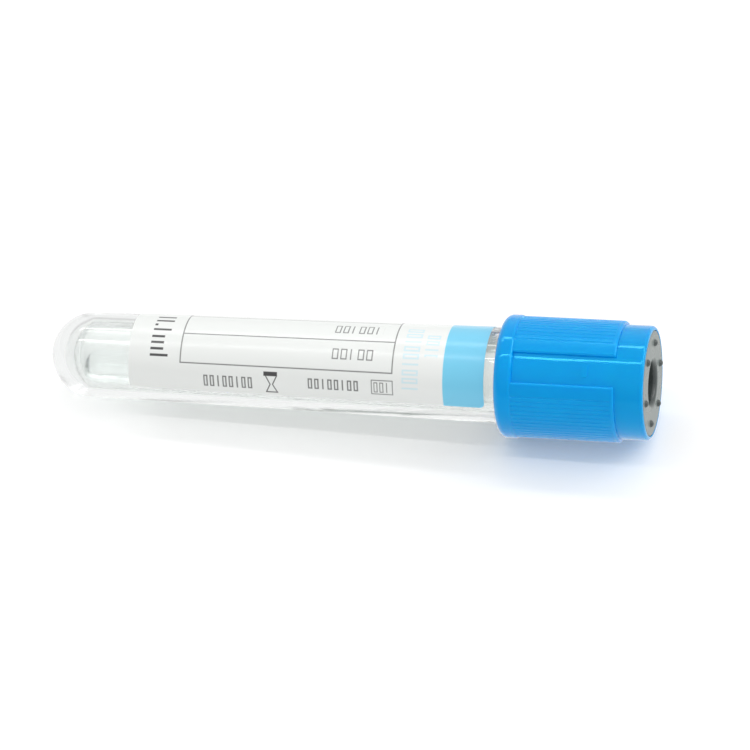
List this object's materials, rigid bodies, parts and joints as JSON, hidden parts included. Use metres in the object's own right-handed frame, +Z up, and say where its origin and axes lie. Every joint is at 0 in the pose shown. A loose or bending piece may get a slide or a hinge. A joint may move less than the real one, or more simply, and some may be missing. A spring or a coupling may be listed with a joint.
{
  "type": "blood collection tube",
  "caption": "Evacuated blood collection tube lying on its side: clear tube in tube with label and liquid additive, rubber stopper in a ribbed cap shell that pulls off.",
  "frame": {"origin": "on the surface that the tube lies on, under the middle of its bounding box", "axes": "+X from the round end towards the cap, rising 2.43 degrees from it along the tube's axis; +Z up; -Y the side that shows the label's lower edge"},
  "size_m": [0.0834, 0.0164, 0.0169],
  "materials": {
    "outer_tube": "clear polyester, glossy",
    "inner_tube": "clear polypropylene, slightly hazy",
    "additive_liquid": "clear watery liquid",
    "label": "satin white film with a pale blue band",
    "stopper": "matte grey butyl rubber",
    "cap_shell": "satin moulded polyethylene, blue"
  },
  "bodies": {
    "tube": {"outer_tube": "outer_tube", "inner_tube": "inner_tube", "additive_liquid": "additive_liquid", "label": "label"},
    "closure": {"stopper": "stopper", "cap_shell": "cap_shell"}
  },
  "joints": [
    {"name": "closure_pull", "type": "slide", "parent": "tube", "child": "closure", "axis": [0.9991, 0, 0.0424], "range_m": [0, 0.02]}
  ]
}
